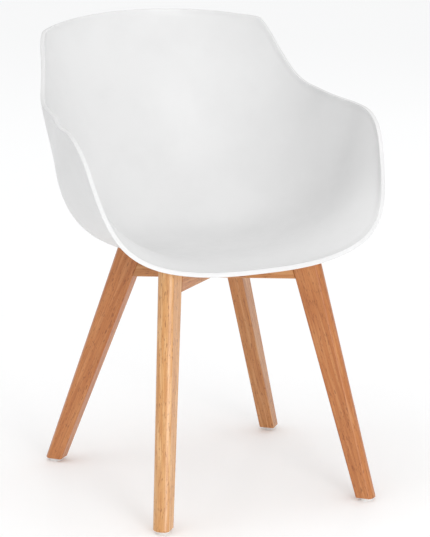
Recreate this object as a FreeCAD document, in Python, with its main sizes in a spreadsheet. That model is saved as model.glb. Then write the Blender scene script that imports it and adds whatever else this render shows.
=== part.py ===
import FreeCAD, Part
import math
import os

import Sketcher

# Dining armchair: a moulded plastic bucket on two crossed wooden leg frames.
# The sitter faces -Y, +X is the sitter's left, +Z is up, and the feet stand on z = 0.

Vector = FreeCAD.Vector
Placement = FreeCAD.Placement
Rotation = FreeCAD.Rotation

SIZES = {
    # bucket seat: its cross-sections lie in planes through a hub line that runs along X
    "lip_height": 427.0,
    "hub_rise": 473.0,
    "hub_depth": -100.0,
    "bucket_half_width": 287.5,
    "wall": 6.0,
    "fan_first": 250.0,
    "fan_step": 11.0,
    # the bucket's edge in side view: corners (depth, rise above the lip) and their roundings
    "crown_depth": 300.0,
    "crown_rise": 374.0,
    "shoulder_depth": 195.5,
    "shoulder_rise": 358.5,
    "shoulder_round": 9.5,
    "notch_depth": 105.5,
    "notch_rise": 250.5,
    "notch_round": 80.0,
    "arm_depth": -23.0,
    "arm_rise": 236.5,
    "arm_round": 500.0,
    "arm_end_depth": -139.0,
    "arm_end_rise": 228.0,
    "arm_end_round": 97.5,
    "thigh_depth": -250.5,
    "thigh_rise": 1.0,
    "thigh_round": 34.5,
    "lip_depth": -346.5,
    "lip_fall": -59.5,
    # leg frames: two flat frames that cross under the seat and lean back together
    "cross_depth": -33.7,
    "cross_gap": 5.6,
    "frame_lean": 6.2,
    "frame_heading": 46.1,
    "timber": 28.6,
    "rail_depth": 38.0,
    "front_reach": 170.0,
    "rear_reach": 137.0,
    "front_splay": 12.6,
    "rear_splay": 24.2,
    "leg_width": 47.5,
    "leg_taper": 1.2,
    "leg_clearance": 5.0,
    "outer_crown": 7.0,
    "outer_round": 2.0,
    "inner_round": 3.0,
    "foot_round": 1.5,
    "rail_round": 2.0,
    "halving_clearance": 0.1,
    # leg joints
    "dowel_radius": 4.0,
    "dowel_length": 36.0,
    "dowel_in_leg": 17.0,
    "dowel_low": 9.0,
    "dowel_pitch": 15.0,
    "glue_gap": 0.1,
    # seat fixings
    "front_mount": 108.0,
    "rear_mount": 82.0,
    "boss_radius": 14.0,
    "pad_radius": 13.0,
    "pad_thick": 2.4,
    "bolt_radius": 3.0,
    "bolt_clearance": 0.3,
    "bolt_head_radius": 5.5,
    "bolt_head": 3.5,
    "hex_socket": 2.3,
    "hex_depth": 2.0,
    "washer_radius": 9.0,
    "washer_thick": 1.5,
    "bolt_recess": 5.6,
    "recess_clearance": 0.6,
    "insert_radius": 4.5,
    "insert_length": 5.2,
    "fit": 0.1,
    # crossing screw
    "screw_radius": 2.5,
    "screw_length": 27.0,
    "screw_head_radius": 5.0,
    "screw_head": 3.0,
    "screw_head_taper": 1.0,
    # feet
    "glide_radius": 11.8,
    "glide_height": 5.5,
    "glide_round": 1.2,
    "nail_radius": 1.4,
    "nail_length": 16.0,
    "nail_recess": 1.2,
}

# How the bucket's sections change from the front lip, under the seat and up the back:
# distance from the hub to the middle of the section, how much narrower the section is than
# the bucket's half width, how far its sides climb, and how square its corners are.
MIDDLE_REACH = (506.5, 480.5, 484, 505.5, 529.5, 498, 449, 409.5, 399.5, 402.5)
NARROWING = (29, 1, 0, 3.5, 13, 16, 13.5, 17, 21, 26)
SIDE_CLIMB = (75, 280, 305, 302, 351, 287, 239, 226, 240, 294)
SQUARENESS = (2.7, 2.6, 2.6, 2.8, 2.5, 2.1, 1.9, 2.1, 2.3, 2.1)

FAN_BEYOND = 0.5      # degrees by which the raw bucket runs past its first and last section
FAN_PLANES = 36       # sections used to skin the bucket
SECTION_POINTS = 33   # points along each section
CUTTER_REACH = 700.0  # larger than the bucket in every direction
BOSS_RUN = 60.0       # raw height of a seat boss, cut off flush inside the bucket
FOOT_SPARE = 40.0     # extra length of a leg before its foot is cut level
TOP_STEP = 0.5        # step of the search for a leg's height under the bucket
HALVINGS = 50         # bisection steps
ON_PLANE = 1e-3       # a point this near a plane lies on it

doc = FreeCAD.newDocument("dining_chair")
sheet = doc.addObject("Spreadsheet::Sheet", "sizes")
for row, (alias, value) in enumerate(SIZES.items(), start=1):
    sheet.set(f"A{row}", alias)
    sheet.set(f"B{row}", str(value))
    sheet.setAlias(f"B{row}", alias)
doc.recompute()


def size(alias):
    """A driving size, read from the sheet."""
    return float(sheet.get(alias))


def cell(alias):
    """The same size as the text of an expression."""
    return f"sizes.{alias}"


# ---------------------------------------------------------------- bucket surface


def natural_spline(values):
    """Second derivatives of the natural cubic spline through equally spaced values."""
    count = len(values)
    slopes = [0.0] * count
    sweep = [0.0] * count
    for i in range(1, count - 1):
        pivot = 4.0 - sweep[i - 1]
        sweep[i] = 1.0 / pivot
        bend = 6.0 * (values[i + 1] - 2.0 * values[i] + values[i - 1])
        slopes[i] = (bend - slopes[i - 1]) / pivot
    for i in range(count - 2, 0, -1):
        slopes[i] -= sweep[i] * slopes[i + 1]
    return slopes


def along_fan(values, bends, angle):
    """The spline's value at a fan angle; past its ends it runs on straight."""
    place = (angle - size("fan_first")) / size("fan_step")
    i = min(max(int(math.floor(place)), 0), len(values) - 2)
    right = place - i
    left = 1.0 - right
    line = left * values[i] + right * values[i + 1]
    if place < 0.0:
        return line - bends[1] * right / 6.0
    if place > len(values) - 1:
        return line + bends[-2] * (right - 1.0) / 6.0
    curve = (left**3 - left) * bends[i] + (right**3 - right) * bends[i + 1]
    return line + curve / 6.0


SECTION_CURVES = [
    (values, natural_spline(values)) for values in (MIDDLE_REACH, NARROWING, SIDE_CLIMB, SQUARENESS)
]


def section_shape(angle):
    """Middle reach, half width, climb and squareness of the section at a fan angle."""
    reach, narrowing, climb, square = (along_fan(v, b, angle) for v, b in SECTION_CURVES)
    return reach, size("bucket_half_width") - narrowing, climb, square


def section_point(angle, turn, inset):
    """(x, reach) of the section at a turn from its middle, moved inwards by inset."""
    reach, half, climb, square = section_shape(angle)
    sine = math.sin(turn)
    cosine = math.cos(turn)
    scale = (abs(sine) ** square + abs(cosine) ** square) ** (-1.0 / square)
    across = scale * sine
    up = scale * cosine
    slope_x = math.copysign(abs(across) ** (square - 1.0), across) / half
    slope_r = abs(up) ** (square - 1.0) / climb
    length = math.hypot(slope_x, slope_r)
    x = half * across - inset * slope_x / length
    r = reach - climb * (1.0 - up) - inset * slope_r / length
    return x, r


def hub():
    return size("hub_depth"), size("lip_height") + size("hub_rise")


def on_fan(angle, x, r):
    hub_y, hub_z = hub()
    direction = math.radians(angle)
    return Vector(x, hub_y + r * math.cos(direction), hub_z + r * math.sin(direction))


def underside(x, y):
    """Height of the bucket's outer face below a point of the seat."""
    low = size("fan_first") - FAN_BEYOND
    high = size("fan_first") + 5.0 * size("fan_step")

    def at(angle):
        reach, half, climb, square = section_shape(angle)
        side = min(abs(x) / half, 1.0)
        r = reach - climb * (1.0 - (1.0 - side**square) ** (1.0 / square))
        return on_fan(angle, x, r)

    for _ in range(HALVINGS):
        middle = (low + high) / 2.0
        if at(middle).y < y:
            low = middle
        else:
            high = middle
    return at((low + high) / 2.0).z


def bucket_volume(inset, beyond):
    """Solid that fills the bucket's surface, moved inwards by inset."""
    first = size("fan_first") - beyond
    last = size("fan_first") + (len(MIDDLE_REACH) - 1) * size("fan_step") + beyond
    widest_turn = math.pi / 2.0
    knots = [i / (SECTION_POINTS - 1) for i in range(SECTION_POINTS)]
    wires = []
    for plane in range(FAN_PLANES + 1):
        angle = first + (last - first) * plane / FAN_PLANES
        points = []
        for knot in knots:
            turn = widest_turn * (2.0 * knot - 1.0)
            points.append(on_fan(angle, *section_point(angle, turn, inset)))
        curve = Part.BSplineCurve()
        curve.interpolate(Points=points, Parameters=knots)
        chord = Part.makeLine(points[-1], points[0])
        wires.append(Part.Wire([curve.toShape(), chord]))
    return Part.makeLoft(wires, True, False)


def rounded_path(corners):
    """Straight runs through corners (point, radius), joined by tangent arcs."""
    edges = []
    start = corners[0][0]
    for before, (corner, radius), after in zip(corners, corners[1:], corners[2:]):
        back = (before[0] - corner).normalize()
        ahead = (after[0] - corner).normalize()
        half_angle = back.getAngle(ahead) / 2.0
        run = radius / math.tan(half_angle)
        entry = corner + back * run
        leave = corner + ahead * run
        bisector = (back + ahead).normalize()
        middle = corner + bisector * (radius / math.sin(half_angle) - radius)
        edges.append(Part.makeLine(start, entry))
        edges.append(Part.Arc(entry, middle, leave).toShape())
        start = leave
    edges.append(Part.makeLine(start, corners[-1][0]))
    return edges


def rim_corners():
    """The bucket's edge in side view, from the crown of the back to the front lip."""
    lip = size("lip_height")

    def corner(name):
        return Vector(0, size(f"{name}_depth"), lip + size(f"{name}_rise"))

    corners = [(corner("crown"), 0.0)]
    for name in ("shoulder", "notch", "arm", "arm_end", "thigh"):
        corners.append((corner(name), size(f"{name}_round")))
    corners.append((Vector(0, size("lip_depth"), lip + size("lip_fall")), 0.0))
    return corners


def rim_cutter():
    """Everything below and behind the bucket's edge."""
    edges = rounded_path(rim_corners())
    start = edges[0].Vertexes[0].Point
    end = edges[-1].Vertexes[-1].Point
    below = start.z - CUTTER_REACH
    outline = [
        end,
        Vector(0, end.y, below),
        Vector(0, CUTTER_REACH, below),
        Vector(0, CUTTER_REACH, start.z),
        start,
    ]
    edges += [Part.makeLine(a, b) for a, b in zip(outline, outline[1:])]
    face = Part.Face(Part.Wire(Part.__sortEdges__(edges)))
    face.translate(Vector(-CUTTER_REACH, 0, 0))
    return face.extrude(Vector(2.0 * CUTTER_REACH, 0, 0))


# ---------------------------------------------------------------- leg frame geometry


def cross_point():
    """Where the two rails' undersides cross."""
    lean = math.radians(size("frame_lean"))
    y = size("cross_depth")
    stack = size("rail_depth") + size("cross_gap")
    foot_y = y + stack * math.sin(lean)
    return Vector(0, y, underside(0.0, foot_y) - stack * math.cos(lean))


def frame_placement(side):
    """Frame +1 runs from the front left leg to the rear right leg, frame -1 mirrors it.
    Its own X runs along the rail towards the front, Z up the rail, Y through the timber."""
    heading = -size("frame_heading")
    if side < 0:
        heading = -180.0 - heading
    lean = Rotation(Vector(1, 0, 0), -size("frame_lean"))
    turn = Rotation(Vector(0, 0, 1), heading)
    return Placement(cross_point(), lean.multiply(turn))


def in_frame(side, along, through, up):
    return frame_placement(side).multVec(Vector(along, through, up))


def leg_edges(end, up):
    """Distances from the crossing to a leg's inner and outer edge at a height."""
    splay = size(f"{end}_splay")
    inner = size(f"{end}_reach")
    outer = inner + size("leg_width") / math.cos(math.radians(splay))
    inner -= up * math.tan(math.radians(splay + size("leg_taper")))
    outer -= up * math.tan(math.radians(splay - size("leg_taper")))
    return inner, outer


ENDS = {"front": 1, "rear": -1}


def leg_top(end, edge):
    """Height at which one edge of a leg stops short of the bucket."""
    half = size("timber") / 2.0
    up = size("rail_depth")
    while up < 3.0 * size("rail_depth"):
        along = ENDS[end] * leg_edges(end, up + TOP_STEP)[edge]
        corners = [in_frame(1, along, through, up + TOP_STEP) for through in (-half, half)]
        if any(underside(p.x, p.y) - p.z < size("leg_clearance") for p in corners):
            break
        up += TOP_STEP
    return up


def foot_centre(side, end):
    """Middle of the foot at the top of its glide."""
    low = -2.0 * cross_point().z
    high = 0.0
    for _ in range(HALVINGS):
        up = (low + high) / 2.0
        inner, outer = leg_edges(end, up)
        point = in_frame(side, ENDS[end] * (inner + outer) / 2.0, 0.0, up)
        if point.z > size("glide_height"):
            high = up
        else:
            low = up
    return point


# Sizes that follow from the others, kept on the sheet so that the features can read them.
DERIVED = {
    "front_inner_top": leg_top("front", 0),
    "front_outer_top": leg_top("front", 1),
    "rear_inner_top": leg_top("rear", 0),
    "rear_outer_top": leg_top("rear", 1),
    "leg_run": cross_point().z / math.cos(math.radians(size("frame_lean"))) + FOOT_SPARE,
}
for row, (alias, value) in enumerate(DERIVED.items(), start=len(SIZES) + 1):
    sheet.set(f"A{row}", alias)
    sheet.set(f"B{row}", str(round(value, 3)))
    sheet.setAlias(f"B{row}", alias)
doc.recompute()


# ---------------------------------------------------------------- feature helpers


def origin_plane(body, role):
    return next(f for f in body.Origin.OriginFeatures if f.Role == role)


def new_body(name, placement):
    body = doc.addObject("PartDesign::Body", name)
    body.Label = name
    body.Placement = placement
    return body


def new_sketch(body, name, role, offset=None):
    sketch = body.newObject("Sketcher::SketchObject", name)
    sketch.AttachmentSupport = (origin_plane(body, role), [""])
    sketch.MapMode = "FlatFace"
    if offset is not None:
        sketch.AttachmentOffset = offset
    doc.recompute()
    return sketch


def value_of(expression):
    result = sheet.evalExpression(expression)
    return float(getattr(result, "Value", result))


def pin_point(sketch, geometry, end, across, up):
    """Hold a sketch point at (across, up) from the origin, each an expression."""
    for kind, expression in (("DistanceX", across), ("DistanceY", up)):
        number = value_of(expression)
        if number == 0.0:
            on_axis = -2 if kind == "DistanceX" else -1
            sketch.addConstraint(Sketcher.Constraint("PointOnObject", geometry, end, on_axis))
            continue
        held = Sketcher.Constraint(kind, -1, 1, geometry, end, number)
        index = sketch.addConstraint(held)
        sketch.setExpression(f"Constraints[{index}]", expression)


def draw_polygon(sketch, corners, left_open=False):
    """Outline through corners, each a pair of expressions, closed unless left open."""
    places = [Vector(value_of(a), value_of(b), 0) for a, b in corners]
    count = len(places)
    sides = count - 1 if left_open else count
    for i in range(sides):
        sketch.addGeometry(Part.LineSegment(places[i], places[(i + 1) % count]), False)
    for i in range(sides - 1):
        sketch.addConstraint(Sketcher.Constraint("Coincident", i, 2, i + 1, 1))
    if not left_open:
        sketch.addConstraint(Sketcher.Constraint("Coincident", count - 1, 2, 0, 1))
    for i, (across, up) in enumerate(corners[:sides]):
        pin_point(sketch, i, 1, across, up)
    if left_open:
        pin_point(sketch, sides - 1, 2, *corners[-1])


def draw_box(sketch, half_across, half_up):
    """Rectangle centred on the origin."""
    draw_polygon(
        sketch,
        [
            (f"-{half_across}", f"-{half_up}"),
            (half_across, f"-{half_up}"),
            (half_across, half_up),
            (f"-{half_across}", half_up),
        ],
    )


def draw_circle(sketch, across, up, radius):
    """Circle held at (across, up), with its radius bound to an expression."""
    centre = Vector(value_of(across), value_of(up), 0)
    circle = Part.Circle(centre, Vector(0, 0, 1), value_of(radius))
    geometry = sketch.addGeometry(circle, False)
    pin_point(sketch, geometry, 3, across, up)
    index = sketch.addConstraint(Sketcher.Constraint("Radius", geometry, value_of(radius)))
    sketch.setExpression(f"Constraints[{index}]", radius)


def pad_through(body, name, sketch, thickness):
    pad = body.newObject("PartDesign::Pad", name)
    pad.Profile = sketch
    pad.SideType = "Symmetric"
    pad.setExpression("Length", thickness)
    sketch.Visibility = False
    doc.recompute()


def pocket(body, name, sketch, length, forward):
    """Cut along the sketch's normal (forward) or against it, and insist that it cuts."""
    before = body.Shape.Volume
    cut = body.newObject("PartDesign::Pocket", name)
    cut.Profile = sketch
    cut.Reversed = forward
    cut.setExpression("Length", length)
    sketch.Visibility = False
    doc.recompute()
    if not cut.Shape.Volume < before:
        raise RuntimeError(f"{name} of {body.Label} cuts nothing")


def fillet(body, name, picks, radius):
    """Round the edges of the body's tip that a test picks."""
    tip = body.Tip
    edges = [f"Edge{i}" for i, edge in enumerate(tip.Shape.Edges, start=1) if picks(edge)]
    if not edges:
        raise RuntimeError(f"{name} of {body.Label} found no edges")
    rounded = body.newObject("PartDesign::Fillet", name)
    rounded.Base = (tip, edges)
    rounded.setExpression("Radius", radius)
    doc.recompute()


def primitive(kind, name, placement, **sizes):
    """Part primitive with its sizes bound to expressions."""
    item = doc.addObject(kind, name)
    item.Placement = placement
    for prop, expression in sizes.items():
        item.setExpression(prop, expression)
    item.Visibility = False
    return item


def cylinder(name, placement, radius, height):
    return primitive("Part::Cylinder", name, placement, Radius=radius, Height=height)


def cut_away(name, base, tool):
    item = doc.addObject("Part::Cut", name)
    item.Base = base
    item.Tool = tool
    item.Visibility = False
    return item


def fuse_both(name, base, tool):
    item = doc.addObject("Part::Fuse", name)
    item.Base = base
    item.Tool = tool
    item.Visibility = False
    return item


def group(name, members):
    """Several separate solids in one node."""
    item = doc.addObject("Part::Compound", name)
    item.Label = name
    item.Links = members
    return item


NO_TURN = Rotation()
CORNERS = [(side, end) for side in (1, -1) for end in ("front", "rear")]


def leg_name(side, end):
    """Frame +1 holds the front left and rear right legs, frame -1 the other two."""
    left = side > 0 if end == "front" else side < 0
    return f"{end}_{'left' if left else 'right'}_leg"


def mount_along(end):
    return ENDS[end] * size(f"{end}_mount")


def frame_axis(side, along, up):
    """Placement with its Z up the frame at a distance along the rail and a height."""
    return frame_placement(side).multiply(Placement(Vector(along, 0, up), NO_TURN))


# ---------------------------------------------------------------- timber


def edge_line(end, which, up):
    """Expression for a leg edge's distance from the crossing at a height expression."""
    sign = "" if end == "front" else "-"
    splay = cell(f"{end}_splay")
    taper = cell("leg_taper")
    if which == "inner":
        return f"{sign}({cell(end + '_reach')} - ({up}) * tan(({splay} + {taper}) * 1deg))"
    width = f"{cell('leg_width')} / cos({splay} * 1deg)"
    return f"{sign}({cell(end + '_reach')} + {width} - ({up}) * tan(({splay} - {taper}) * 1deg))"


def bore_dowels(body, end, name):
    """Holes for a joint's two dowels, along the rail, centred on the joint."""
    sign = ENDS[end]
    middle_up = size("dowel_low") + size("dowel_pitch") / 2.0
    joint = leg_edges(end, middle_up)[0]
    start = sign * (joint + size("dowel_in_leg") - size("dowel_length"))
    sketch = new_sketch(body, f"{name}_sketch", "YZ_Plane", Placement(Vector(0, 0, start), NO_TURN))
    radius = f"{cell('dowel_radius')} + {cell('glue_gap')}"
    draw_circle(sketch, "0", cell("dowel_low"), radius)
    draw_circle(sketch, "0", f"{cell('dowel_low')} + {cell('dowel_pitch')}", radius)
    pocket(body, name, sketch, cell("dowel_length"), sign > 0)


def long_edge(edge, side_y, along_leg):
    """True for a leg's lengthwise edge on the faces at +-side_y."""
    if len(edge.Vertexes) != 2:
        return False
    a = edge.Vertexes[0].Point
    b = edge.Vertexes[1].Point
    flat = abs(abs(a.y) - side_y) < ON_PLANE and abs(a.y - b.y) < ON_PLANE
    return flat and abs(a.z - b.z) > along_leg


def crown_outer_edge(body, end, name):
    """Cut a leg's outer edge to a shallow arc across the timber."""
    sign = ENDS[end]
    tilt = Rotation(Vector(0, 1, 0), -sign * (size(f"{end}_splay") - size("leg_taper")))
    edge = Vector(sign * leg_edges(end, 0.0)[1], 0, 0)
    sketch = new_sketch(body, f"{name}_crown", "XY_Plane", Placement(edge, tilt))
    outward = "" if sign > 0 else "-"
    inward = "-" if sign > 0 else ""
    drop = cell("outer_crown")
    half = f"{cell('timber')} / 2"
    corners = [
        (f"{inward}{drop}", half),
        (f"{outward}{drop}", cell("timber")),
        (f"{outward}{drop}", f"-{cell('timber')}"),
        (f"{inward}{drop}", f"-{half}"),
    ]
    draw_polygon(sketch, corners, True)
    radius = f"({drop} * {drop} + {half} * {half}) / (2 * {drop})"
    centre = Vector(-sign * value_of(radius), 0, 0)
    circle = Part.Circle(centre, Vector(0, 0, 1), value_of(radius))
    spread = math.asin(value_of(half) / value_of(radius))
    facing = 0.0 if sign > 0 else math.pi
    shape = Part.ArcOfCircle(circle, facing - spread, facing + spread)
    arc = sketch.addGeometry(shape, False)
    low, high = (1, 2) if sign > 0 else (2, 1)
    sketch.addConstraint(Sketcher.Constraint("Coincident", arc, low, len(corners) - 2, 2))
    sketch.addConstraint(Sketcher.Constraint("Coincident", arc, high, 0, 1))
    index = sketch.addConstraint(Sketcher.Constraint("Radius", arc, value_of(radius)))
    sketch.setExpression(f"Constraints[{index}]", radius)
    cut = f"{name}_outer_crown"
    pocket(body, cut, sketch, f"4 * {cell('leg_run')}", False)
    body.getObject(cut).SideType = "Symmetric"
    doc.recompute()


def make_leg(side, end):
    """Tapered, splayed leg, cut level at its foot and slanted under the bucket."""
    name = leg_name(side, end)
    body = new_body(name, frame_placement(side))
    inner_top = cell(f"{end}_inner_top")
    outer_top = cell(f"{end}_outer_top")
    bottom = f"-{cell('leg_run')}"
    outline = new_sketch(body, f"{name}_outline", "XZ_Plane")
    draw_polygon(
        outline,
        [
            (edge_line(end, "inner", inner_top), inner_top),
            (edge_line(end, "outer", outer_top), outer_top),
            (edge_line(end, "outer", bottom), bottom),
            (edge_line(end, "inner", bottom), bottom),
        ],
    )
    pad_through(body, f"{name}_timber", outline, cell("timber"))
    crown_outer_edge(body, end, name)
    half = size("timber") / 2.0
    long_run = size("leg_run") / 2.0
    middle = sum(leg_edges(end, -size("leg_run") / 2.0)) / 2.0

    def is_outer(edge):
        centre = edge.BoundBox.Center
        return long_edge(edge, half, long_run) and abs(centre.x) > middle

    def is_inner(edge):
        centre = edge.BoundBox.Center
        return long_edge(edge, half, long_run) and abs(centre.x) < middle

    fillet(body, f"{name}_outer_round", is_outer, cell("outer_round"))
    fillet(body, f"{name}_inner_round", is_inner, cell("inner_round"))

    foot = foot_centre(side, end)
    level = body.Placement.inverse().multiply(Placement(foot, NO_TURN))
    trim = new_sketch(body, f"{name}_trim", "XY_Plane", level)
    spare = f"2 * {cell('leg_width')}"
    draw_box(trim, spare, spare)
    pocket(body, f"{name}_level_foot", trim, spare, False)

    inverse = Placement(foot, NO_TURN).inverse().multiply(body.Placement)

    def is_sole(edge):
        return all(abs(inverse.multVec(v.Point).z) < ON_PLANE for v in edge.Vertexes)

    fillet(body, f"{name}_foot_round", is_sole, cell("foot_round"))
    bore_dowels(body, end, f"{name}_dowel_holes")
    pilot = new_sketch(body, f"{name}_pilot", "XY_Plane", level)
    draw_circle(pilot, "0", "0", f"{cell('nail_radius')} + {cell('fit')}")
    depth = f"{cell('nail_length')} + {cell('nail_recess')} - {cell('glide_height')} + {cell('fit')}"
    pocket(body, f"{name}_nail_hole", pilot, depth, True)
    return body


def make_rail(side):
    """Cross rail with slanted ends, halved where it meets the other rail."""
    name = "front_left_cross_rail" if side > 0 else "front_right_cross_rail"
    body = new_body(name, frame_placement(side))
    depth = cell("rail_depth")
    flat_front = f"{cell('front_mount')} + {cell('boss_radius')}"
    flat_rear = f"-({cell('rear_mount')} + {cell('boss_radius')})"
    outline = new_sketch(body, f"{name}_outline", "XZ_Plane")
    draw_polygon(
        outline,
        [
            (edge_line("rear", "inner", "0"), "0"),
            (edge_line("front", "inner", "0"), "0"),
            (edge_line("front", "inner", cell("front_inner_top")), cell("front_inner_top")),
            (flat_front, depth),
            (flat_rear, depth),
            (edge_line("rear", "inner", cell("rear_inner_top")), cell("rear_inner_top")),
        ],
    )
    pad_through(body, f"{name}_timber", outline, cell("timber"))
    half = size("timber") / 2.0

    def runs_along(edge):
        a = edge.Vertexes[0].Point
        b = edge.Vertexes[-1].Point
        flat = abs(abs(a.y) - half) < ON_PLANE and abs(a.y - b.y) < ON_PLANE
        return flat and abs(a.x - b.x) > 2.0 * half

    fillet(body, f"{name}_round", runs_along, cell("rail_round"))

    # the other rail's heading seen from this one, for the halving notch
    crossing = 180.0 - 2.0 * size("frame_heading")
    turn = Rotation(Vector(0, 0, 1), -side * crossing)
    notch = new_sketch(body, f"{name}_notch", "XY_Plane", Placement(Vector(0, 0, 0), turn))
    notch.setExpression(".AttachmentOffset.Base.z", f"{depth} / 2")
    half_notch = f"({cell('timber')} / 2 + {cell('halving_clearance')})"
    draw_box(notch, f"2 * {cell('timber')}", half_notch)
    pocket(body, f"{name}_halving", notch, depth, side > 0)

    bolts = new_sketch(body, f"{name}_bolts", "XY_Plane")
    bolt_hole = f"{cell('bolt_radius')} + {cell('bolt_clearance')}"
    draw_circle(bolts, cell("front_mount"), "0", bolt_hole)
    draw_circle(bolts, f"-{cell('rear_mount')}", "0", bolt_hole)
    pocket(body, f"{name}_bolt_holes", bolts, depth, True)

    recess = new_sketch(body, f"{name}_recesses", "XY_Plane")
    recess_hole = f"{cell('washer_radius')} + {cell('recess_clearance')}"
    draw_circle(recess, cell("front_mount"), "0", recess_hole)
    draw_circle(recess, f"-{cell('rear_mount')}", "0", recess_hole)
    pocket(body, f"{name}_bolt_recesses", recess, cell("bolt_recess"), True)

    screw = new_sketch(body, f"{name}_screw", "XY_Plane")
    screw_hole = f"{cell('screw_radius')} + {cell('fit')}"
    draw_circle(screw, "0", "0", screw_hole)
    pocket(body, f"{name}_screw_hole", screw, f"{cell('screw_length')} + {cell('fit')}", True)
    for end in ENDS:
        bore_dowels(body, end, f"{name}_{end}_dowel_holes")
    return body


# ---------------------------------------------------------------- bucket


def mount_axis(side, end, up):
    return frame_axis(side, mount_along(end), up)


def pad_top():
    return size("rail_depth") + size("pad_thick")


def make_shell():
    """Moulded bucket with four bosses that stand on the rails."""
    outer = bucket_volume(0.0, FAN_BEYOND)
    inner = bucket_volume(size("wall"), FAN_BEYOND + 1.0)
    for side, end in CORNERS:
        boss = Part.makeCylinder(size("boss_radius"), BOSS_RUN)
        boss.Placement = mount_axis(side, end, pad_top())
        outer = outer.fuse(boss)
    shell = outer.cut(inner).common(rim_cutter())
    shell = max(shell.Solids, key=lambda solid: solid.Volume)
    bore = size("insert_length") + size("fit")
    for side, end in CORNERS:
        socket = Part.makeCylinder(size("insert_radius") + size("fit"), bore)
        socket.Placement = mount_axis(side, end, pad_top())
        shell = shell.cut(socket)
    shell = shell.Solids[0]
    item = doc.addObject("Part::Feature", "seat_shell")
    item.Label = "seat_shell"
    item.Shape = shell
    return item


# ---------------------------------------------------------------- seat fixings


def make_pad(side, end):
    name = leg_name(side, end).replace("_leg", "_seat_pad")
    place = mount_axis(side, end, size("rail_depth"))
    disc = cylinder(f"{name}_disc", place, cell("pad_radius"), cell("pad_thick"))
    hole = f"{cell('bolt_radius')} + {cell('bolt_clearance')}"
    bore = cylinder(f"{name}_bore", place, hole, cell("pad_thick"))
    item = cut_away(name, disc, bore)
    item.Label = name
    return item


def make_insert(side, end):
    name = f"insert_{end}_{'a' if side > 0 else 'b'}"
    place = mount_axis(side, end, pad_top())
    body = cylinder(f"{name}_body", place, cell("insert_radius"), cell("insert_length"))
    thread = f"{cell('bolt_radius')} + {cell('fit')}"
    bore = cylinder(f"{name}_bore", place, thread, cell("insert_length"))
    return cut_away(name, body, bore)


def washer_base():
    """Height in the rail of the face that the bolt's head bears on."""
    return size("bolt_recess") - size("washer_thick")


def make_washer(side, end):
    name = f"washer_{end}_{'a' if side > 0 else 'b'}"
    place = mount_axis(side, end, washer_base())
    disc = cylinder(f"{name}_disc", place, cell("washer_radius"), cell("washer_thick"))
    hole = f"{cell('bolt_radius')} + {cell('bolt_clearance')}"
    bore = cylinder(f"{name}_bore", place, hole, cell("washer_thick"))
    return cut_away(name, disc, bore)


def make_bolt(side, end):
    """Socket-head bolt from the rail's recess up into the seat's insert."""
    name = f"bolt_{end}_{'a' if side > 0 else 'b'}"
    head_place = mount_axis(side, end, washer_base() - size("bolt_head"))
    head = cylinder(f"{name}_head", head_place, cell("bolt_head_radius"), cell("bolt_head"))
    shank_place = mount_axis(side, end, washer_base())
    stack = ("washer_thick", "rail_depth", "pad_thick", "insert_length")
    reach = " + ".join(cell(part) for part in stack) + f" - {cell('bolt_recess')}"
    shank = cylinder(f"{name}_shank", shank_place, cell("bolt_radius"), reach)
    solid = fuse_both(f"{name}_solid", head, shank)
    hexagon = primitive(
        "Part::Prism",
        f"{name}_hexagon",
        head_place,
        Circumradius=cell("hex_socket"),
        Height=cell("hex_depth"),
    )
    return cut_away(name, solid, hexagon)


def make_cross_screw():
    """Countersunk screw up through the halving joint."""
    place = frame_axis(1, 0.0, 0.0)
    shank = cylinder("cross_screw_shank", place, cell("screw_radius"), cell("screw_length"))
    head_place = frame_axis(1, 0.0, -size("screw_head"))
    head = primitive(
        "Part::Cone",
        "cross_screw_head",
        head_place,
        Radius1=f"{cell('screw_head_radius')} - {cell('screw_head_taper')}",
        Radius2=cell("screw_head_radius"),
        Height=cell("screw_head"),
    )
    item = fuse_both("cross_joint_screw", head, shank)
    item.Label = "cross_joint_screw"
    return item


def make_dowels(side, end):
    sign = ENDS[end]
    middle_up = size("dowel_low") + size("dowel_pitch") / 2.0
    joint = leg_edges(end, middle_up)[0]
    start = sign * (joint + size("dowel_in_leg") - size("dowel_length"))
    lay_down = Rotation(Vector(0, 1, 0), 90.0 * sign)
    pegs = []
    for which, up in (("low", size("dowel_low")), ("high", size("dowel_low") + size("dowel_pitch"))):
        local = Placement(Vector(start, 0, up), lay_down)
        name = f"dowel_{which}_{leg_name(side, end)}"
        place = frame_placement(side).multiply(local)
        pegs.append(cylinder(name, place, cell("dowel_radius"), cell("dowel_length")))
    return pegs


# ---------------------------------------------------------------- feet


def make_glide(side, end):
    """White plastic glide: a low disc with a rounded lower edge, moulded round its nail."""
    name = leg_name(side, end).replace("_leg", "_glide")
    foot = foot_centre(side, end)
    body = new_body(name, Placement(Vector(foot.x, foot.y, 0), NO_TURN))
    base = new_sketch(body, f"{name}_outline", "XY_Plane")
    draw_circle(base, "0", "0", cell("glide_radius"))
    disc = body.newObject("PartDesign::Pad", f"{name}_disc")
    disc.Profile = base
    disc.setExpression("Length", cell("glide_height"))
    base.Visibility = False
    doc.recompute()

    def is_lower(edge):
        return abs(edge.BoundBox.ZMax) < ON_PLANE

    fillet(body, f"{name}_round", is_lower, cell("glide_round"))
    top = Placement(Vector(0, 0, size("glide_height")), NO_TURN)
    hole = new_sketch(body, f"{name}_hole", "XY_Plane", top)
    draw_circle(hole, "0", "0", f"{cell('nail_radius')} + {cell('fit')}")
    pocket(body, f"{name}_nail_hole", hole, f"{cell('glide_height')} - {cell('nail_recess')}", False)
    return body


def make_nail(side, end):
    foot = foot_centre(side, end)
    place = Placement(Vector(foot.x, foot.y, size("nail_recess")), NO_TURN)
    name = f"nail_{leg_name(side, end)}"
    return cylinder(name, place, cell("nail_radius"), cell("nail_length"))


# ---------------------------------------------------------------- assembly

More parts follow.
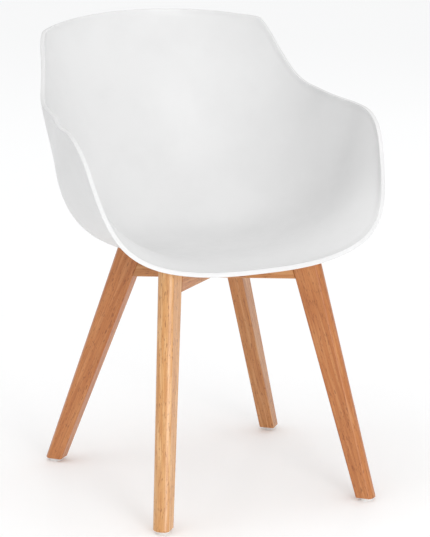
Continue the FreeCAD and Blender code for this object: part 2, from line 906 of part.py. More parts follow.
nodes = [make_shell()]
nodes += [make_rail(side) for side in (1, -1)]
nodes += [make_leg(side, end) for side, end in CORNERS]
nodes += [make_pad(side, end) for side, end in CORNERS]
nodes += [make_glide(side, end) for side, end in CORNERS]
nodes.append(group("seat_inserts", [make_insert(side, end) for side, end in CORNERS]))
nodes.append(group("seat_washers", [make_washer(side, end) for side, end in CORNERS]))
nodes.append(group("seat_bolts", [make_bolt(side, end) for side, end in CORNERS]))
nodes.append(make_cross_screw())
nodes.append(group("leg_dowels", [peg for side, end in CORNERS for peg in make_dowels(side, end)]))
nodes.append(group("glide_nails", [make_nail(side, end) for side, end in CORNERS]))
doc.recompute()

# The origin lies under the middle of the chair's own box.
whole = FreeCAD.BoundBox()
for node in nodes:
    whole.add(node.Shape.optimalBoundingBox(False))
centring = Placement(Vector(-whole.Center.x, -whole.Center.y, -whole.ZMin), NO_TURN)
for node in nodes:
    node.Placement = centring.multiply(node.Placement)
doc.recompute()

for item in doc.Objects:
    if {"Invalid", "Error"} & set(item.State):
        raise RuntimeError(f"{item.Name} did not recompute: {item.State}")
for node in nodes:
    if node.Shape.isNull() or not node.Shape.isValid():
        raise RuntimeError(f"{node.Label} has no valid shape")

os.makedirs("parts", exist_ok=True)
for node in nodes:
    node.Shape.exportStep(f"parts/{node.Label}.step")
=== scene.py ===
import math

import bpy
import numpy as np
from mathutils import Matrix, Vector


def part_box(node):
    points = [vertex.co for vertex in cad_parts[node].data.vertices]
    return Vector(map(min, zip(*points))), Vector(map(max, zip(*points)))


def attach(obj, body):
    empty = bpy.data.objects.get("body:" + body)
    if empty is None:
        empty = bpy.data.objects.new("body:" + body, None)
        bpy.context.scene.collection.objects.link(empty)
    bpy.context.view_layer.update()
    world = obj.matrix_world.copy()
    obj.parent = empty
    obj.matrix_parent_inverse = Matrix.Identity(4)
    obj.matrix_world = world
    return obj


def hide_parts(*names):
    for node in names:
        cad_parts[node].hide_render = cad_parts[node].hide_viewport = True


# Dining armchair: white moulded bucket on crossed beech leg frames.
# Metres throughout. The sitter faces -Y, +X is the sitter's left, the floor is z = 0.

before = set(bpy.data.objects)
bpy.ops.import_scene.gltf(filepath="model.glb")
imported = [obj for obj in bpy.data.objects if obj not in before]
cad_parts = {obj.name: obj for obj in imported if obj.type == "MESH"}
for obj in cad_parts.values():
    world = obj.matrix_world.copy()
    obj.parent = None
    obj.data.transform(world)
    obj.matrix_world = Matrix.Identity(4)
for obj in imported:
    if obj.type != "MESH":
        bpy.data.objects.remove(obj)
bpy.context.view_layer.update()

MM = 0.001

# ------------------------------------------------------------------ materials


class Nodes:
    """A shader node tree, built a node per call."""

    def __init__(self, tree):
        self.tree = tree

    def add(self, kind, **settings):
        node = self.tree.nodes.new(kind)
        for key, value in settings.items():
            setattr(node, key, value)
        return node

    def join(self, source, target):
        self.tree.links.new(source, target)

    def feed(self, socket, value):
        """A socket takes either another node's output or a constant."""
        if isinstance(value, bpy.types.NodeSocket):
            self.join(value, socket)
        else:
            socket.default_value = value

    def maths(self, operation, a, b=0.0, c=0.0, clamp=False):
        node = self.add("ShaderNodeMath", operation=operation, use_clamp=clamp)
        for socket, value in zip(node.inputs, (a, b, c)):
            self.feed(socket, value)
        return node.outputs[0]


class Paint(Nodes):
    """A material's nodes around one Principled shader."""

    def __init__(self, name):
        self.material = bpy.data.materials.new(name)
        self.material.use_nodes = True
        super().__init__(self.material.node_tree)
        self.tree.nodes.clear()
        self.shader = self.add("ShaderNodeBsdfPrincipled")
        output = self.add("ShaderNodeOutputMaterial")
        self.join(self.shader.outputs["BSDF"], output.inputs["Surface"])
        self.place = self.add("ShaderNodeTexCoord").outputs["Object"]

    def vector(self, operation, a, b):
        node = self.add("ShaderNodeVectorMath", operation=operation)
        self.feed(node.inputs[0], a)
        self.feed(node.inputs[1], b)
        return node.outputs["Value" if operation == "DOT_PRODUCT" else "Vector"]

    def noise(self, vector, scale, detail=3.0, rough=0.5, distortion=0.0):
        node = self.add("ShaderNodeTexNoise")
        self.feed(node.inputs["Vector"], vector)
        node.inputs["Scale"].default_value = scale
        node.inputs["Detail"].default_value = detail
        node.inputs["Roughness"].default_value = rough
        node.inputs["Distortion"].default_value = distortion
        return node.outputs["Fac"]

    def spread(self, value, low, high, to_low, to_high):
        """value from low..high to to_low..to_high, smoothly and clamped."""
        node = self.add("ShaderNodeMapRange", interpolation_type="SMOOTHSTEP")
        for socket, part in zip(node.inputs, (value, low, high, to_low, to_high)):
            self.feed(socket, part)
        return node.outputs["Result"]

    def blend(self, factor, a, b, mode="MIX"):
        node = self.add("ShaderNodeMix", data_type="RGBA", blend_type=mode)
        self.feed(node.inputs["Factor"], factor)
        self.feed(node.inputs[6], a)
        self.feed(node.inputs[7], b)
        return node.outputs[2]

    def bump(self, height, strength, distance, below=None):
        node = self.add("ShaderNodeBump")
        node.inputs["Strength"].default_value = strength
        node.inputs["Distance"].default_value = distance
        self.feed(node.inputs["Height"], height)
        if below is not None:
            self.join(below, node.inputs["Normal"])
        return node.outputs["Normal"]

    def finish(self, colour, rough, normal, **constants):
        self.feed(self.shader.inputs["Base Color"], colour)
        self.feed(self.shader.inputs["Roughness"], rough)
        self.join(normal, self.shader.inputs["Normal"])
        for name, value in constants.items():
            self.shader.inputs[name.replace("_", " ")].default_value = value
        return self.material


def plastic(name, colour, rough, grain):
    """Moulded plastic: fine spark-eroded texture, faint flow and handling marks in the sheen."""
    paint = Paint(name)
    flow = paint.noise(paint.place, scale=7.0, detail=4.0, rough=0.6)
    marks = paint.noise(paint.place, scale=60.0, detail=5.0, rough=0.65, distortion=0.4)
    texture = paint.noise(paint.place, scale=1.0 / grain, detail=2.0, rough=0.6)
    shade = [c * FLOW_SHADE for c in colour[:3]] + [1.0]
    tone = paint.blend(paint.spread(flow, 0.35, 0.65, 0.0, 1.0), shade, colour)
    sheen = paint.spread(marks, 0.3, 0.7, rough - 0.05, rough + 0.06)
    normal = paint.bump(texture, strength=0.12, distance=0.15 * MM)
    return paint.finish(tone, sheen, normal, IOR=1.49)


def beech(name, along, across, shift, board=(1.0, 1.0, 1.0)):
    """Clear-lacquered beech: grain follows `along`, growth rings stack up along `across`.

    `board` tints the whole board; for the front_right leg it is a painted highlight, lighter and
    paler.
    """
    paint = Paint(name)
    tones = {key: (*(np.asarray(tone) * board).tolist(), 1.0) for key, tone in BEECH.items()}
    along = Vector(along).normalized()
    through = along.cross(Vector(across)).normalized()
    across = through.cross(along)
    moved = paint.vector("ADD", paint.place, tuple(shift))
    run = paint.vector("DOT_PRODUCT", moved, tuple(along))
    side = paint.vector("DOT_PRODUCT", moved, tuple(across))
    depth = paint.vector("DOT_PRODUCT", moved, tuple(through))

    def grain_space(run_scale, side_scale, depth_scale):
        node = paint.add("ShaderNodeCombineXYZ")
        axes = ((run, run_scale), (side, side_scale), (depth, depth_scale))
        for socket, (axis, scale) in zip(node.inputs, axes):
            paint.join(paint.maths("MULTIPLY", axis, scale), socket)
        return node.outputs["Vector"]

    layers = {}
    for layer, (run_scale, cross_scale, detail, rough) in GRAIN.items():
        place = grain_space(run_scale, cross_scale, cross_scale)
        layers[layer] = paint.noise(place, scale=1.0, detail=detail, rough=rough)

    rings = paint.add("ShaderNodeTexWave", wave_type="BANDS", bands_direction="Y")
    paint.join(grain_space(*RING_STRETCH), rings.inputs["Vector"])
    for setting, value in RING_WAVE.items():
        rings.inputs[setting].default_value = value
    layers["rings"] = rings.outputs["Fac"]

    # short dark ray flecks: the hearts of some of the cells, picked by the cells' random colour
    cells = paint.add("ShaderNodeTexVoronoi", feature="F1")
    paint.join(grain_space(*FLECK_CELLS), cells.inputs["Vector"])
    cells.inputs["Scale"].default_value = 1.0
    heart = paint.spread(cells.outputs["Distance"], 0.12, 0.34, 1.0, 0.0)
    picked = paint.add("ShaderNodeSeparateColor")
    paint.join(cells.outputs["Color"], picked.inputs["Color"])
    fleck = paint.maths("MULTIPLY", heart, paint.spread(picked.outputs[0], 0.45, 0.6, 0.0, 1.0))

    tone = tones["warm"]
    for layer, low, high, at_low, at_high, stain in STAINS:
        share = paint.spread(layers[layer], low, high, at_low, at_high)
        tone = paint.blend(share, tone, tones[stain])
    tone = paint.blend(paint.maths("MULTIPLY", fleck, FLECK_SHARE), tone, tones["dark"])
    tone = paint.blend(paint.spread(layers["sway"], 0.3, 0.7, 0.10, 0.0), tone, tones["dark"])

    open_grain = paint.maths("ADD", layers["streaks"], paint.maths("MULTIPLY", fleck, 0.3))
    rough = paint.spread(open_grain, 0.3, 0.9, 0.36, 0.50)
    relief = paint.maths("SUBTRACT", layers["fibres"], paint.maths("MULTIPLY", fleck, 0.5))
    normal = paint.bump(relief, strength=0.18, distance=0.12 * MM)
    return paint.finish(tone, rough, normal, IOR=1.5, Coat_Weight=0.25, Coat_Roughness=0.22)


def rubber(name):
    paint = Paint(name)
    grain = paint.noise(paint.place, scale=1400.0)
    dust = paint.noise(paint.place, scale=90.0, detail=4.0)
    tone = paint.blend(paint.spread(dust, 0.45, 0.75, 0.0, 0.35), RUBBER, RUBBER_DUST)
    rough = paint.spread(dust, 0.3, 0.7, 0.62, 0.82)
    return paint.finish(tone, rough, paint.bump(grain, strength=0.3, distance=0.1 * MM))


def metal(name, colour, rough, tarnish):
    paint = Paint(name)
    cloud = paint.noise(paint.place, scale=220.0, detail=5.0, rough=0.6)
    scratch = paint.noise(paint.place, scale=1900.0, detail=3.0, rough=0.7)
    tone = paint.blend(paint.spread(cloud, 0.4, 0.7, 0.0, 0.6), colour, tarnish)
    sheen = paint.spread(scratch, 0.3, 0.7, rough - 0.08, rough + 0.1)
    normal = paint.bump(scratch, strength=0.15, distance=0.05 * MM)
    return paint.finish(tone, sheen, normal, Metallic=1.0)


# tones of clear-lacquered beech
BEECH = {
    "pale": (0.680, 0.360, 0.150),
    "light": (0.600, 0.275, 0.096),
    "warm": (0.545, 0.222, 0.064),
    "ring": (0.435, 0.155, 0.040),
    "dark": (0.250, 0.080, 0.022),
}
# noise in the grain: waves per metre along the board and across it, detail and roughness
GRAIN = {
    "sway": (3.0, 9.0, 2.0, 0.5),
    "fibres": (14.0, 900.0, 4.0, 0.62),
    "streaks": (11.0, 230.0, 3.0, 0.55),
    "pale": (8.0, 170.0, 2.0, 0.5),
    "strokes": (90.0, 420.0, 2.0, 0.5),
    "clouds": (5.0, 26.0, 3.0, 0.5),
}
# what each layer adds to the warm tone, in order: the range of its values that counts, its
# share at that range's low and high ends, and the tone it brings
STAINS = (
    ("clouds", 0.3, 0.7, 0.0, 1.0, "light"),
    ("rings", 0.0, 1.0, 0.0, 0.30, "ring"),
    ("streaks", 0.44, 0.64, 0.0, 0.60, "ring"),
    ("pale", 0.48, 0.68, 0.0, 0.60, "pale"),
    ("fibres", 0.40, 0.75, 0.0, 0.30, "dark"),
    ("strokes", 0.58, 0.70, 0.0, 0.70, "dark"),
)
RING_STRETCH = (0.35, 1.0, 0.35)    # along the board, across it and through it
RING_WAVE = {"Scale": 95.0, "Distortion": 5.0, "Detail": 3.0, "Detail Scale": 0.25}
FLECK_CELLS = (190.0, 1150.0, 620.0)
FLECK_SHARE = 0.42

FLOW_SHADE = 0.965                  # tone of the flow marks in moulded plastic
WHITE_PLASTIC = (0.743, 0.743, 0.743, 1)
WHITE_NYLON = (0.80, 0.80, 0.79, 1)
RUBBER = (0.02, 0.02, 0.021, 1)
RUBBER_DUST = (0.09, 0.088, 0.085, 1)
ZINC = (0.66, 0.67, 0.69, 1)
ZINC_TARNISH = (0.50, 0.51, 0.50, 1)
BRASS = (0.78, 0.58, 0.26, 1)
BRASS_TARNISH = (0.55, 0.40, 0.20, 1)

# ------------------------------------------------------------------ bucket surface

# The bucket's sections lie in planes through a hub line parallel to X, a fixed step of angle
# apart. These are the CAD's own sizes, in millimetres, before its centring on the frame. The
# four rows of section sizes and the edge's corners were fitted by a separate program to
# outlines measured in the photograph, as report.md says.
HUB_Y = -100.0
HUB_Z = 900.0
FAN_FIRST = 250.0
FAN_STEP = 11.0
HALF_WIDTH = 287.5
WALL = 6.0
MIDDLE_REACH = (506.5, 480.5, 484, 505.5, 529.5, 498, 449, 409.5, 399.5, 402.5)
NARROWING = (29, 1, 0, 3.5, 13, 16, 13.5, 17, 21, 26)
SIDE_CLIMB = (75, 280, 305, 302, 351, 287, 239, 226, 240, 294)
SQUARENESS = (2.7, 2.6, 2.6, 2.8, 2.5, 2.1, 1.9, 2.1, 2.3, 2.1)

# The bucket's edge in side view: (y, z) of each corner and its rounding, crown to lip.
RIM_CORNERS = (
    (300.0, 801.0, 0.0),
    (195.5, 785.5, 9.5),
    (105.5, 677.5, 80.0),
    (-23.0, 663.5, 500.0),
    (-139.0, 655.0, 97.5),
    (-250.5, 428.0, 34.5),
    (-346.5, 367.5, 0.0),
)


def natural_spline(values):
    """Second derivatives of the natural cubic spline through equally spaced values."""
    count = len(values)
    system = np.eye(count)
    target = np.zeros(count)
    for i in range(1, count - 1):
        system[i, i - 1 : i + 2] = (1.0, 4.0, 1.0)
        target[i] = 6.0 * (values[i + 1] - 2.0 * values[i] + values[i - 1])
    return np.linalg.solve(system, target)


def along_fan(values, bends, angle):
    """The spline's value at fan angles; past its ends it runs on straight."""
    values = np.asarray(values, float)
    place = (np.asarray(angle, float) - FAN_FIRST) / FAN_STEP
    i = np.clip(np.floor(place).astype(int), 0, len(values) - 2)
    right = place - i
    left = 1.0 - right
    line = left * values[i] + right * values[i + 1]
    curve = ((left**3 - left) * bends[i] + (right**3 - right) * bends[i + 1]) / 6.0
    before = -bends[1] * right / 6.0
    after = bends[-2] * (right - 1.0) / 6.0
    curve = np.where(place < 0.0, before, np.where(place > len(values) - 1, after, curve))
    return line + curve


SECTION_ROWS = (MIDDLE_REACH, NARROWING, SIDE_CLIMB, SQUARENESS)
SECTION_CURVES = [(row, natural_spline(row)) for row in SECTION_ROWS]

ARC_POINTS = 41           # along each rounded corner of the edge's side view
SIDE_VIEW_POINTS = 6000   # along the whole side view, once evened out
RIM_HALVINGS = 50         # steps of the search for the edge on the bucket


def section(angle):
    """Sizes of the bucket's section at fan angles: reach, half width, climb and squareness."""
    reach, narrowing, climb, square = (along_fan(v, b, angle) for v, b in SECTION_CURVES)
    return reach, HALF_WIDTH - narrowing, climb, square


def bucket(angle, turn, inset=0.0):
    """Points of the bucket's outer face, moved inwards by inset."""
    reach, half, climb, square = section(angle)
    sine = np.sin(turn)
    cosine = np.cos(turn)
    scale = (np.abs(sine) ** square + np.abs(cosine) ** square) ** (-1.0 / square)
    across = scale * sine
    up = scale * cosine
    slope_x = np.sign(across) * np.abs(across) ** (square - 1.0) / half
    slope_r = np.abs(up) ** (square - 1.0) / climb
    length = np.hypot(slope_x, slope_r)
    x = half * across - inset * slope_x / length
    r = reach - climb * (1.0 - up) - inset * slope_r / length
    ray = np.radians(angle)
    return np.stack([x, HUB_Y + r * np.cos(ray), HUB_Z + r * np.sin(ray)], axis=-1)


def distance_along(points):
    """How far along a line of points each of them lies."""
    return np.concatenate([[0.0], np.cumsum(np.linalg.norm(np.diff(points, axis=0), axis=1))])


def rim_side_view():
    """Points along the edge in side view, with its rounded corners as arcs."""
    corners = [np.array(c[:2]) for c in RIM_CORNERS]
    points = [corners[0]]
    for i in range(1, len(corners) - 1):
        corner = corners[i]
        radius = RIM_CORNERS[i][2]
        back = corners[i - 1] - corner
        ahead = corners[i + 1] - corner
        back /= np.linalg.norm(back)
        ahead /= np.linalg.norm(ahead)
        half_angle = math.acos(float(np.clip(back @ ahead, -1, 1))) / 2.0
        bisector = (back + ahead) / np.linalg.norm(back + ahead)
        centre = corner + bisector * radius / math.sin(half_angle)
        run = radius / math.tan(half_angle)
        start = corner + back * run - centre
        end = corner + ahead * run - centre
        sweep = math.pi - 2.0 * half_angle
        for t in np.linspace(0.0, 1.0, ARC_POINTS):
            from_start = start * math.sin((1.0 - t) * sweep)
            from_end = end * math.sin(t * sweep)
            points.append(centre + (from_start + from_end) / math.sin(sweep))
    points.append(corners[-1])
    points = np.array(points)
    steps = distance_along(points)
    fine = np.linspace(0.0, steps[-1], SIDE_VIEW_POINTS)
    return np.stack([np.interp(fine, steps, points[:, k]) for k in (0, 1)], axis=-1)


def rim_on_bucket(count):
    """(angle, turn) of evenly spaced points round the bucket's edge, a closed loop."""
    side = rim_side_view()
    angle = np.degrees(np.arctan2(side[:, 1] - HUB_Z, side[:, 0] - HUB_Y)) % 360.0
    radius = np.hypot(side[:, 0] - HUB_Y, side[:, 1] - HUB_Z)
    on_bucket = radius <= section(angle)[0]
    angle = angle[on_bucket]
    radius = radius[on_bucket]
    low = np.zeros(len(angle))
    high = np.full(len(angle), math.pi / 2.0)
    for _ in range(RIM_HALVINGS):
        turn = (low + high) / 2.0
        points = bucket(angle, turn)
        too_far = np.hypot(points[:, 1] - HUB_Y, points[:, 2] - HUB_Z) > radius
        low = np.where(too_far, turn, low)
        high = np.where(too_far, high, turn)
    turn[0] = 0.0
    turn[-1] = 0.0
    steps = distance_along(bucket(angle, turn))
    even = np.linspace(0.0, steps[-1], count // 2 + 1)
    angle = np.interp(even, steps, angle)
    turn = np.interp(even, steps, turn)
    return np.concatenate([angle, angle[-2:0:-1]]), np.concatenate([turn, -turn[-2:0:-1]])


RIM_COUNT = 320           # points in each ring of the bucket's mesh
CENTRE_ANGLE = 297.0      # where the rings close to a point, under the seat
NEAR_RIM = (5.0, 7.5, 10.5, 14.0, 18.5, 24.0, 31.0, 40.0)   # first rings' distances from the edge
FAR_RINGS = 34            # even steps from the last of those to the middle
SPOKE_POINTS = 401        # along each line from the edge to the middle, to measure it
RIM_THICK = 8.0
OUTER_EDGE = 1.4          # rounding of the edge on the outer face
INNER_EDGE = 1.0          # and on the inner face
EDGE_POINTS = 6           # along each of those roundings
EDGE_CROWN = 0.18         # how far the edge stands out between them
SWELL = 12.0              # width of the band in which the wall thickens to the edge


def unit(vectors):
    return vectors / np.linalg.norm(vectors, axis=-1, keepdims=True)


def bucket_rings():
    """Closed rings of points: outer skin from the middle out, over the edge, inner skin back."""
    rim_angle, rim_turn = rim_on_bucket(RIM_COUNT)
    rim = bucket(rim_angle, rim_turn)
    share = np.linspace(0.0, 1.0, SPOKE_POINTS)[:, None]
    spoke_angle = rim_angle + share * (CENTRE_ANGLE - rim_angle)
    spoke_turn = rim_turn * (1.0 - share)
    spokes = bucket(spoke_angle, spoke_turn)
    lengths = np.linalg.norm(np.diff(spokes, axis=0), axis=2)
    travelled = np.concatenate([np.zeros((1, RIM_COUNT)), np.cumsum(lengths, axis=0)])

    rings = []
    near = [np.full(RIM_COUNT, d) for d in NEAR_RIM]
    rest = travelled[-1] - NEAR_RIM[-1]
    far = [NEAR_RIM[-1] + rest * k / FAR_RINGS for k in range(1, FAR_RINGS)]
    for distance in near + far:
        at = np.array([np.interp(d, travelled[:, i], share[:, 0]) for i, d in enumerate(distance)])
        rings.append((rim_angle + at * (CENTRE_ANGLE - rim_angle), rim_turn * (1.0 - at)))

    def thickness(points):
        """The wall at points of the outer face: it swells smoothly towards the edge."""
        gap = np.linalg.norm(points[:, None, :] - rim[None, :, :], axis=2)
        fade = np.clip(1.0 - (gap.min(axis=1) - INNER_EDGE) / SWELL, 0.0, 1.0)
        fade = fade * fade * (3.0 - 2.0 * fade)
        return WALL + (RIM_THICK - WALL) * fade

    inward = unit(bucket(rim_angle, rim_turn, 1.0) - rim)
    tangent = unit(np.roll(rim, -1, axis=0) - np.roll(rim, 1, axis=0))
    outward = unit(np.cross(tangent, inward))
    middle = bucket(np.array(CENTRE_ANGLE), np.array(0.0))
    outward *= np.sign(np.sum(outward * (rim - middle), axis=1, keepdims=True))

    outer_skin = [bucket(angle, turn) for angle, turn in reversed(rings)]
    inner_skin = []
    for angle, turn in rings:
        base = bucket(angle, turn)
        deep = bucket(angle, turn, 1.0) - base
        inner_skin.append(base + deep * thickness(base)[:, None])

    rays = [math.radians(t) for t in np.linspace(0.0, 90.0, EDGE_POINTS)]
    profile = []    # (out past the edge, in through the wall) round the edge
    for ray in rays:
        out = -OUTER_EDGE + OUTER_EDGE * math.sin(ray)
        profile.append((out, OUTER_EDGE * (1.0 - math.cos(ray))))
    profile.append((EDGE_CROWN, RIM_THICK / 2.0))
    for ray in rays:
        out = -INNER_EDGE + INNER_EDGE * math.cos(ray)
        profile.append((out, RIM_THICK - INNER_EDGE * (1.0 - math.sin(ray))))
    edge = [rim + outward * out + inward * through for out, through in profile]
    inner_middle = bucket(np.array(CENTRE_ANGLE), np.array(0.0), WALL)
    return outer_skin + edge + inner_skin, middle, inner_middle


def new_piece(name, points, faces, material, node):
    """A mesh piece in metres that rides on the chair and stands for a CAD node."""
    mesh = bpy.data.meshes.new(name)
    mesh.from_pydata([tuple(p) for p in points], [], faces)
    mesh.update()
    mesh.materials.append(material)
    piece = bpy.data.objects.new(name, mesh)
    bpy.context.scene.collection.objects.link(piece)
    mesh.polygons.foreach_set("use_smooth", [True] * len(mesh.polygons))
    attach(piece, "root")
    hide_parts(node)
    return piece


def ring_faces(rows, around):
    """Four-sided faces between each closed ring of points and the next."""
    faces = []
    for row in range(rows - 1):
        for i in range(around):
            j = (i + 1) % around
            a, b = row * around + i, row * around + j
            faces.append((a, b, b + around, a + around))
    return faces


def frame_shift():
    """From the bucket's own place to its place in the frame: the two differ along Y only."""
    rim_angle, rim_turn = rim_on_bucket(RIM_COUNT)
    lowest = bucket(rim_angle, rim_turn)[:, 1].min() * MM
    return np.array([0.0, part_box("seat_shell")[0].y - lowest, 0.0])


SHIFT = frame_shift()


def in_place(points):
    return np.asarray(points) * MM + SHIFT


def make_seat(material):
    rings, outer_middle, inner_middle = bucket_rings()
    rows = len(rings)
    points = np.concatenate(rings + [outer_middle[None, :], inner_middle[None, :]])
    faces = ring_faces(rows, RIM_COUNT)
    outer_pole = rows * RIM_COUNT
    inner_pole = outer_pole + 1
    last = (rows - 1) * RIM_COUNT
    for i in range(RIM_COUNT):
        j = (i + 1) % RIM_COUNT
        faces.append((outer_pole, j, i))
        faces.append((inner_pole, last + i, last + j))
    return new_piece("seat_bucket", in_place(points), faces, material, "seat_shell")


# ------------------------------------------------------------------ seat bosses

LEAN = math.radians(6.2)
BOSS_AXIS = np.array([0.0, math.sin(LEAN), math.cos(LEAN)])
BOSS_RADIUS = 14.0
BOSS_FLARE = 5.0
BOSS_AROUND = 64          # points in each ring of a boss
BOSS_TALLEST = 60.0       # where the search for the shell starts
BOSS_HALVINGS = 40        # and its steps
BOSS_SHORTEST = 1.2       # least height of the flare above the foot
BOSS_ROOT = 1.5           # how far the boss runs into the shell
FLARE_POINTS = 9
FOOT_ROUND = 1.0          # rounding of the boss's foot
FOOT_ROUND_MIDDLE = 0.3   # inset of the point half way round it
HOLE_CHAMFER = 0.4
PAD_SHARE = 0.929         # the pad's radius as a share of the boss's
INSERT_HOLE = 4.6
INSERT_DEPTH = 5.3


def outer_reach(points):
    """How far outside the bucket's outer face points lie, along their hub rays, in mm."""
    local = points / MM - SHIFT / MM
    angle = np.degrees(np.arctan2(local[:, 2] - HUB_Z, local[:, 1] - HUB_Y)) % 360.0
    radius = np.hypot(local[:, 1] - HUB_Y, local[:, 2] - HUB_Z)
    reach, half, climb, square = section(angle)
    share = np.clip(np.abs(local[:, 0]) / half, 0.0, 1.0)
    return radius - (reach - climb * (1.0 - (1.0 - share**square) ** (1.0 / square)))


def make_boss(corner, material):
    """Moulded boss under the bucket, flared where it grows out of the shell."""
    low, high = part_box(f"{corner}_seat_pad")
    pad = np.array((low + high) / 2.0)
    pad_half = (high.z - low.z) / 2.0 - BOSS_RADIUS * PAD_SHARE * MM * math.sin(LEAN)
    foot = pad + BOSS_AXIS * pad_half
    sideways = np.array([1.0, 0.0, 0.0])
    forwards = np.cross(BOSS_AXIS, sideways)
    turns = np.linspace(0.0, 2.0 * math.pi, BOSS_AROUND, endpoint=False)
    spoke = np.outer(np.cos(turns), sideways) + np.outer(np.sin(turns), forwards)

    def ring(radius, height):
        return foot + spoke * radius * MM + BOSS_AXIS * (np.asarray(height) * MM)[..., None]

    def to_shell(radius):
        bottom = np.zeros(BOSS_AROUND)
        top = np.full(BOSS_AROUND, BOSS_TALLEST)
        for _ in range(BOSS_HALVINGS):
            height = (bottom + top) / 2.0
            outside = outer_reach(ring(radius, height)) > 0.0
            bottom = np.where(outside, height, bottom)
            top = np.where(outside, top, height)
        return height

    flat = np.zeros(BOSS_AROUND)
    rings = [
        ring(INSERT_HOLE, flat + INSERT_DEPTH),
        ring(INSERT_HOLE, flat + HOLE_CHAMFER),
        ring(INSERT_HOLE + HOLE_CHAMFER, flat),
        ring(BOSS_RADIUS - FOOT_ROUND, flat),
        ring(BOSS_RADIUS - FOOT_ROUND_MIDDLE, flat + FOOT_ROUND_MIDDLE),
        ring(BOSS_RADIUS, flat + FOOT_ROUND),
    ]
    for t in np.linspace(0.0, 90.0, FLARE_POINTS):
        radius = BOSS_RADIUS + BOSS_FLARE * (1.0 - math.cos(math.radians(t)))
        lift = BOSS_FLARE * (1.0 - math.sin(math.radians(t)))
        rings.append(ring(radius, np.maximum(to_shell(radius) - lift, BOSS_SHORTEST)))
    root = BOSS_RADIUS + BOSS_FLARE
    rings.append(ring(root, to_shell(root) + BOSS_ROOT))
    faces = ring_faces(len(rings), BOSS_AROUND)
    points = np.concatenate(rings)
    return new_piece(f"seat_boss_{corner}", points, faces, material, "seat_shell")


# ------------------------------------------------------------------ build

CORNERS = ("front_left", "front_right", "rear_left", "rear_right")
RAILS = ("front_left_cross_rail", "front_right_cross_rail")
# each leg's board is tinted: front_right much lighter and paler, a painted highlight for the key
# light's reflection on its lacquer; the other three a little apart
LEG_TINTS_AND_HIGHLIGHT = {
    "front_left": (0.93, 0.80, 0.70),
    "front_right": (1.25, 1.52, 1.85),
    "rear_left": (0.96, 0.96, 0.96),
    "rear_right": (1.00, 0.86, 0.76),
}


def mesh_points(node):
    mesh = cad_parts[node].data
    points = np.zeros(len(mesh.vertices) * 3)
    mesh.vertices.foreach_get("co", points)
    return points.reshape(-1, 3)


def repaint(node, material):
    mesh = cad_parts[node].data
    mesh.materials.clear()
    mesh.materials.append(material)


END_SHARE = 0.15          # how much of a timber's length counts as its end
FORE_AFT = 1              # the frame's Y
UP = 2                    # and its Z


def timber_axis(node, axis):
    """Unit direction of a timber's length, from the points near its two ends along an axis."""
    points = mesh_points(node)
    place = points[:, axis]
    reach = END_SHARE * (place.max() - place.min())
    start = points[place <= place.min() + reach].mean(axis=0)
    end = points[place >= place.max() - reach].mean(axis=0)
    return unit(end - start)


# Growth rings stack up across a leg in this direction: along X, mirrored for the legs of the
# other frame, and along Y.
LEG_FACE = (0.72, 0.693)
FIRST_LEG_CUT = (0.13, 0.0, 0.0)
NEXT_LEG_CUT = (0.31, 0.17, 0.07)
FIRST_RAIL_CUT = (0.4, 0.2, 0.9)
NEXT_RAIL_CUT = (1.0, 0.0, 0.0)
DOWEL_GRAIN = (0.7, 0.7, 0.0)
UPRIGHT = (0.0, 0.0, 1.0)


def cut_place(first, step, number):
    """Where in the timber a board is cut, so that no two show the same figure."""
    return tuple(a + number * b for a, b in zip(first, step))


seat_plastic = plastic("seat_polypropylene", WHITE_PLASTIC, 0.42, 1.1 * MM)
glide_plastic = plastic("glide_nylon", WHITE_NYLON, 0.40, 0.8 * MM)
pad_rubber = rubber("pad_rubber")
zinc = metal("zinc_plate", ZINC, 0.34, ZINC_TARNISH)
brass = metal("insert_brass", BRASS, 0.36, BRASS_TARNISH)

make_seat(seat_plastic)
for corner in CORNERS:
    make_boss(corner, seat_plastic)
    repaint(f"{corner}_glide", glide_plastic)
    repaint(f"{corner}_seat_pad", pad_rubber)

for number, corner in enumerate(CORNERS):
    side = 1.0 if corner in ("front_left", "rear_right") else -1.0
    leg = f"{corner}_leg"
    face = (LEG_FACE[0] * side, LEG_FACE[1], 0.0)
    cut = cut_place(FIRST_LEG_CUT, NEXT_LEG_CUT, number)
    repaint(leg, beech(f"beech_{leg}", timber_axis(leg, UP), face, cut, LEG_TINTS_AND_HIGHLIGHT[corner]))
for number, rail in enumerate(RAILS):
    cut = cut_place(FIRST_RAIL_CUT, NEXT_RAIL_CUT, number)
    repaint(rail, beech(f"beech_{rail}", timber_axis(rail, FORE_AFT), UPRIGHT, cut))
repaint("leg_dowels", beech("beech_dowels", DOWEL_GRAIN, UPRIGHT, (0.0, 0.0, 0.0)))
for node in ("seat_bolts", "seat_washers", "cross_joint_screw", "glide_nails"):
    repaint(node, zinc)
repaint("seat_inserts", brass)

# ------------------------------------------------------------------ stage, light, camera

FLOOR_REACH = 40.0
FLOOR_TONES = ((0.950, 0.954, 0.958, 1), (0.955, 0.959, 0.963, 1))
FLOOR_ROUGH = 0.9
FLOOR_GLOW = {"Emission_Color": (1.0, 1.0, 1.0, 1.0), "Emission_Strength": 0.05}


def make_floor():
    mesh = bpy.data.meshes.new("floor")
    signs = ((-1, -1), (1, -1), (1, 1), (-1, 1))
    mesh.from_pydata([(x * FLOOR_REACH, y * FLOOR_REACH, 0) for x, y in signs], [], [(0, 1, 2, 3)])
    floor = bpy.data.objects.new("floor", mesh)
    paint = Paint("studio_floor")
    soft = paint.noise(paint.place, scale=2.0, detail=2.0)
    tone = paint.blend(soft, *FLOOR_TONES)
    flat = paint.bump(soft, strength=0.0, distance=MM)
    matt = paint.finish(tone, FLOOR_ROUGH, flat, Specular_IOR_Level=0.0, **FLOOR_GLOW)
    mesh.materials.append(matt)
    bpy.context.scene.collection.objects.link(floor)


CHAIR_MIDDLE = Vector((0.0, 0.0, 0.4))


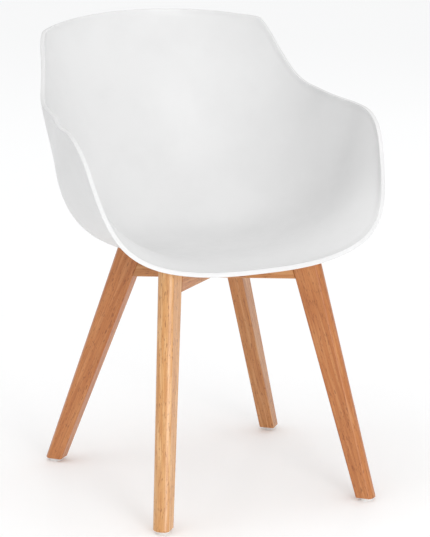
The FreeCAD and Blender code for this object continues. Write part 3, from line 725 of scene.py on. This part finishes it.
def hang(name, light, place, power):
    """Hangs a lamp, unseen by the camera."""
    light.energy = power
    item = bpy.data.objects.new(name, light)
    item.visible_camera = False
    item.location = place
    bpy.context.scene.collection.objects.link(item)
    return item


def panel_light(name, place, side, power):
    """A square panel that faces the chair."""
    light = bpy.data.lights.new(name, "AREA")
    light.shape = "RECTANGLE"
    light.size = side
    light.size_y = side
    item = hang(name, light, place, power)
    item.rotation_euler = (CHAIR_MIDDLE - Vector(place)).to_track_quat("-Z", "Y").to_euler()


def globe_light(name, place, radius, power):
    """A glowing globe: unlike a panel it leaves no hard edge on the floor behind it."""
    light = bpy.data.lights.new(name, "POINT")
    light.shadow_soft_size = radius
    hang(name, light, place, power)


def make_world(horizon, overhead):
    """Studio surround: even light from the sides, growing towards the ceiling softboxes."""
    world = bpy.data.worlds.new("studio")
    world.use_nodes = True
    sky = Nodes(world.node_tree)
    background = sky.tree.nodes["Background"]
    background.inputs["Color"].default_value = (1.0, 1.0, 1.0, 1.0)
    parts = sky.add("ShaderNodeSeparateXYZ")
    sky.join(sky.add("ShaderNodeTexCoord").outputs["Generated"], parts.inputs[0])
    height = sky.maths("MAXIMUM", parts.outputs["Z"], 0.0)
    strength = sky.maths("MULTIPLY_ADD", sky.maths("POWER", height, 2.0), overhead, horizon)
    sky.join(strength, background.inputs["Strength"])
    bpy.context.scene.world = world


SENSOR = 36.0             # millimetres, as the lens
LENS = 158.06
CAMERA_PLACE = (-1.6970, -3.6958, 1.4049)   # metres, before the CAD's centring on the frame
CAMERA_YAW = -25.070
CAMERA_PITCH = 14.226     # degrees below the horizon
FARTHEST = 200.0


def make_camera():
    camera = bpy.data.cameras.new("camera")
    camera.sensor_width = SENSOR
    camera.lens = LENS
    camera.clip_end = FARTHEST
    item = bpy.data.objects.new("camera", camera)
    item.location = CAMERA_PLACE + SHIFT
    tilt = math.pi / 2.0 - math.radians(CAMERA_PITCH)
    item.rotation_euler = (tilt, 0.0, math.radians(CAMERA_YAW))
    bpy.context.scene.collection.objects.link(item)
    bpy.context.scene.camera = item


make_floor()
make_world(horizon=0.64, overhead=0.56)
globe_light("key", (0.0, -3.96, 1.00), radius=0.80, power=204.0)
panel_light("high_side", (-1.97, 0.35, 3.86), side=2.2, power=8.0)
panel_light("back", (1.64, 2.84, 2.69), side=0.6, power=5.0)
make_camera()
bpy.context.scene.view_settings.view_transform = "Standard"
bpy.context.scene.view_settings.look = "None"
